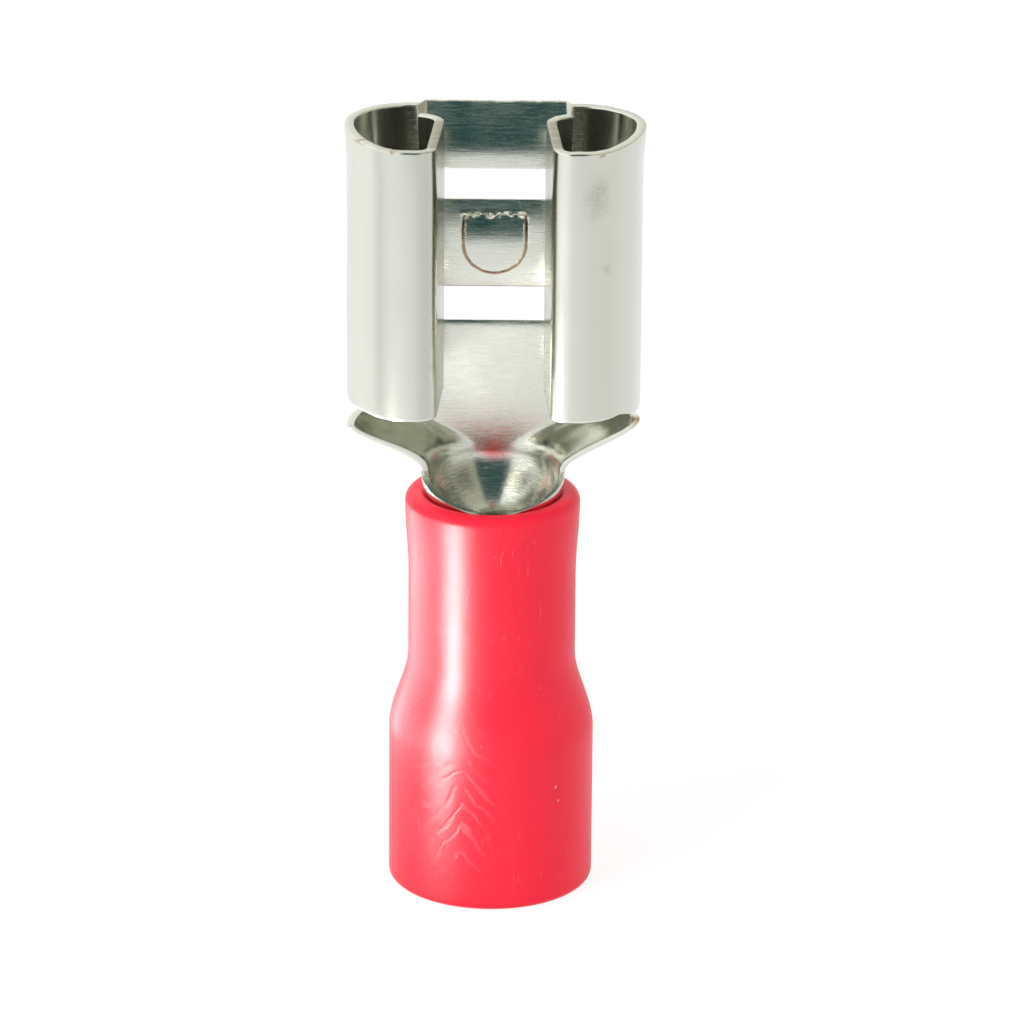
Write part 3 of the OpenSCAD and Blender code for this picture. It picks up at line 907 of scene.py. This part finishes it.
def sleeve_outline(s):
    """The sleeve's outline from its foot, up the outside and down the inside."""
    top = SLEEVE_BOX[1].z
    wire = SLEEVE_BOX[1].x
    bore = s.wire_bore / 2
    rim, neck, edge = s.rim / 2, s.neck / 2, s.edge
    neck_low = s.wire_end + s.swell
    neck_high = top - 2 * s.mouth_depth
    grip_top = top - s.mouth_depth
    return [
        *arc((bore + edge / 2, edge / 2), edge / 2, 180, 270, 5),
        *arc((wire - s.foot, s.foot), s.foot, -90, 0),
        *upright((wire, s.foot), (wire, s.wire_end), 16),
        (wire, s.wire_end),
        *swell((wire, s.wire_end), (neck, neck_low)),
        (neck, neck_low),
        *upright((neck, neck_low), (neck, neck_high), 12),
        (neck, neck_high),
        *swell((neck, neck_high), (rim, top - edge), 14),
        *arc((rim - edge, top - edge), edge, 0, 90),
        *arc((s.mouth + edge, top - edge), edge, 90, 180),
        *upright((s.mouth, top - edge), (s.grip, grip_top), 5),
        (s.grip, grip_top),
        (s.grip, s.grip_end),
        (bore, s.grip_end - (bore - s.grip)),
    ]


class SPADE_OT_sleeve(bpy.types.Operator):
    """Turns the insulating sleeve from its outline."""

    bl_idname = "spade.sleeve"
    bl_label = "Insulating sleeve"

    def execute(self, context):
        s = context.scene.spade_sleeve
        outline = sleeve_outline(s)
        mesh = bpy.data.meshes.new("sleeve")
        count = len(outline)
        mesh.from_pydata(
            [(radius, 0, height) for radius, height in outline],
            [(i, (i + 1) % count) for i in range(count)],
            [],
        )
        sleeve = bpy.data.objects.new("sleeve", mesh)
        context.collection.objects.link(sleeve)
        deselect()
        sleeve.select_set(True)
        context.view_layer.objects.active = sleeve
        bpy.ops.object.mode_set(mode="EDIT")
        bpy.ops.mesh.select_all(action="SELECT")
        bpy.ops.mesh.spin(steps=144, angle=math.tau, center=(0, 0, 0), axis=(0, 0, 1))
        bpy.ops.mesh.select_all(action="SELECT")
        bpy.ops.mesh.remove_doubles(threshold=0.001 * MM)
        bpy.ops.mesh.normals_make_consistent(inside=False)
        bpy.ops.object.mode_set(mode="OBJECT")
        bpy.ops.object.shade_smooth_by_angle(angle=SMOOTH_ANGLE)
        finished(sleeve, "sleeve_shell", "sleeve", "red_pvc", sleeve_pvc(s))
        return {"FINISHED"}


# ---------------------------------------------------------------- the stage


def light_world(strength):
    """Soft even light all round. Gloss sees a room, bright on the left and dim on the right."""
    n = Nodes("studio", "world")
    bpy.context.scene.world = n.material
    white = (1, 1, 1, 1)
    soft = n.add("ShaderNodeBackground", Color=white, Strength=strength)
    clear = n.add("ShaderNodeBackground", Color=white)
    side, _, _ = n.parts(n.add("ShaderNodeTexCoord").outputs["Generated"])
    spread = n.add("ShaderNodeMapRange", Value=side, i1=-1.0)
    shades = n.add("ShaderNodeValToRGB", Fac=spread.outputs[0])
    left, right = shades.color_ramp.elements
    left.position, left.color = 0.3, ROOM_LEFT
    right.position, right.color = 0.7, ROOM_RIGHT
    room = n.add("ShaderNodeBackground", Color=shades.outputs["Color"])
    glossy = n.add("ShaderNodeLightPath").outputs["Is Glossy Ray"]
    seen = n.add("ShaderNodeMixShader", i0=glossy, i1=clear.outputs[0], i2=room.outputs[0])
    share = n.seen_share()
    n.show(n.add("ShaderNodeMixShader", i0=share, i1=soft.outputs[0], i2=seen.outputs[0]))


def white_floor(pale):
    """A white floor that still takes the terminal's shadow."""
    deselect()
    bpy.ops.mesh.primitive_plane_add(size=1.2)
    floor = bpy.context.object
    floor.name = "floor"
    n = Nodes("floor")
    matte = n.add("ShaderNodeBsdfDiffuse", Color=colour(pale))
    shaded = n.add("ShaderNodeBsdfDiffuse", Color=colour(pale, 0.2))
    glow = n.add("ShaderNodeEmission", Strength=0.86)
    lit = n.add("ShaderNodeAddShader", i0=shaded.outputs[0], i1=glow.outputs[0])
    share = n.seen_share()
    n.show(n.add("ShaderNodeMixShader", i0=share, i1=matte.outputs[0], i2=lit.outputs[0]))
    floor.data.materials.append(n.material)


def card(name, place, lean, turned, size, shade, strength=1.0):
    """A card round the terminal that shows only in gloss. Millimetres and degrees."""
    deselect()
    bpy.ops.mesh.primitive_plane_add(size=1)
    panel = bpy.context.object
    panel.name = name
    panel.location = Vector(place) * MM
    panel.rotation_euler = (math.radians(lean), 0, math.radians(turned))
    panel.scale = (size[0] * MM, size[1] * MM, 1)
    n = Nodes(name)
    n.show(n.add("ShaderNodeEmission", Color=colour(shade), Strength=strength))
    panel.data.materials.append(n.material)
    hide_from_all_but_gloss(panel)


def reflection_ring(radius, low, high, strength):
    """A band round the terminal that shows only in gloss, with the room's light and dark sides."""
    deselect()
    bpy.ops.mesh.primitive_cylinder_add(
        vertices=96,
        radius=radius,
        depth=high - low,
        end_fill_type="NOTHING",
        location=(0, 0, (low + high) / 2),
    )
    ring = bpy.context.object
    ring.name = "reflection_ring"
    n = Nodes("reflection_ring")
    place = n.add("ShaderNodeTexCoord").outputs["Object"]
    across, deep, _ = n.parts(place)
    angle = n.maths("ARCTAN2", across, n.maths("MULTIPLY", deep, -1.0))
    share = n.maths("ADD", n.maths("DIVIDE", angle, math.tau), 0.5)
    shades = n.add("ShaderNodeValToRGB", Fac=share)
    stops = shades.color_ramp.elements
    for _ in range(len(RING_SHADES) - 2):
        stops.new(0.5)
    for stop, (azimuth, value, warmth) in zip(stops, RING_SHADES):
        stop.position = (azimuth + 180) / 360
        stop.color = (value * (1 + warmth), value, value * (1 - warmth), 1)
    n.show(n.add("ShaderNodeEmission", Color=shades.outputs["Color"], Strength=strength))
    ring.data.materials.append(n.material)
    hide_from_all_but_gloss(ring)


def hide_from_all_but_gloss(panel):
    """Leaves a stage piece visible in gloss alone."""
    panel.visible_camera = False
    panel.visible_diffuse = False
    panel.visible_shadow = False
    panel.visible_transmission = False


def soft_lamp(name, place, size, power):
    """A square soft lamp that faces the terminal."""
    data = bpy.data.lights.new(name, "AREA")
    data.size = size
    data.energy = power
    lamp = bpy.data.objects.new(name, data)
    bpy.context.collection.objects.link(lamp)
    lamp.location = place
    way = Vector(place) - Vector((0, 0, 10 * MM))
    lamp.rotation_euler = way.to_track_quat("Z", "Y").to_euler()
    lamp.visible_glossy = False


def aim_camera(s):
    """The camera, in front of the terminal and a little above it."""
    data = bpy.data.cameras.new("camera")
    data.lens = s.lens
    data.clip_start = 1 * MM
    camera = bpy.data.objects.new("camera", data)
    bpy.context.collection.objects.link(camera)
    aim = Vector((s.aim_side, 0, s.aim_height))
    way = Vector((0, -math.cos(s.elevation), math.sin(s.elevation)))
    camera.location = aim + way * s.distance
    turned = way.to_track_quat("Z", "Y").to_matrix()
    camera.rotation_euler = (turned @ Matrix.Rotation(s.roll, 3, "Z")).to_euler()
    bpy.context.scene.camera = camera


class SPADE_OT_stage(bpy.types.Operator):
    """Sets up the camera, the white floor and the soft light."""

    bl_idname = "spade.stage"
    bl_label = "Stage"

    def execute(self, context):
        s = context.scene.spade_stage
        context.scene.view_settings.view_transform = "Standard"
        aim_camera(s)
        light_world(0.75)
        white_floor(s.floor)
        soft_lamp("key_lamp", (-0.16, -0.14, 0.16), 0.12, 0.35)
        reflection_ring(22 * MM, 0.3 * MM, 17 * MM, RING_STRENGTH)
        card("room_card", (0, -53.46, 39.24), 63, 0, (40, 75), s.room)
        warm = (1, 0.97, 0.95)
        card("sleeve_card", (-8.2, -7.4, 4.2), 90, -48, (3.4, 8), warm, 75.0)
        rosy = (1, 0.95, 0.97)
        card("side_card", (-11.5, 3.5, 3.7), 90, -110, (12, 7), rosy, 8.0)
        return {"FINISHED"}


# ---------------------------------------------------------------- the add-on


class SPADE_PT_panel(bpy.types.Panel):
    """Lists the terminal's settings and its making steps."""

    bl_idname = "SPADE_PT_panel"
    bl_label = "Female spade terminal"
    bl_space_type = "VIEW_3D"
    bl_region_type = "UI"
    bl_category = "Terminal"

    def draw(self, context):
        for settings, operator in STEPS:
            box = self.layout.box()
            group = getattr(context.scene, settings)
            for name in group.bl_rna.properties.keys():
                if name not in ("rna_type", "name"):
                    box.prop(group, name)
            box.operator(operator)


STEPS = [
    ("spade_stage", "spade.stage"),
    ("spade_strip", "spade.strip"),
    ("spade_sleeve", "spade.sleeve"),
]
GROUPS = {
    "spade_stage": StageSettings,
    "spade_strip": StripSettings,
    "spade_sleeve": SleeveSettings,
}
CLASSES = [*GROUPS.values(), SPADE_OT_stage, SPADE_OT_strip, SPADE_OT_sleeve, SPADE_PT_panel]


def register():
    """Adds the settings, the making steps and their panel."""
    for item in CLASSES:
        bpy.utils.register_class(item)
    for name, group in GROUPS.items():
        setattr(bpy.types.Scene, name, bpy.props.PointerProperty(type=group))


def unregister():
    """Takes them away again."""
    for name in GROUPS:
        delattr(bpy.types.Scene, name)
    for item in reversed(CLASSES):
        bpy.utils.unregister_class(item)


def main():
    register()
    bpy.ops.spade.stage()
    bpy.ops.spade.strip()
    bpy.ops.spade.sleeve()


if __name__ == "__main__":
    main()
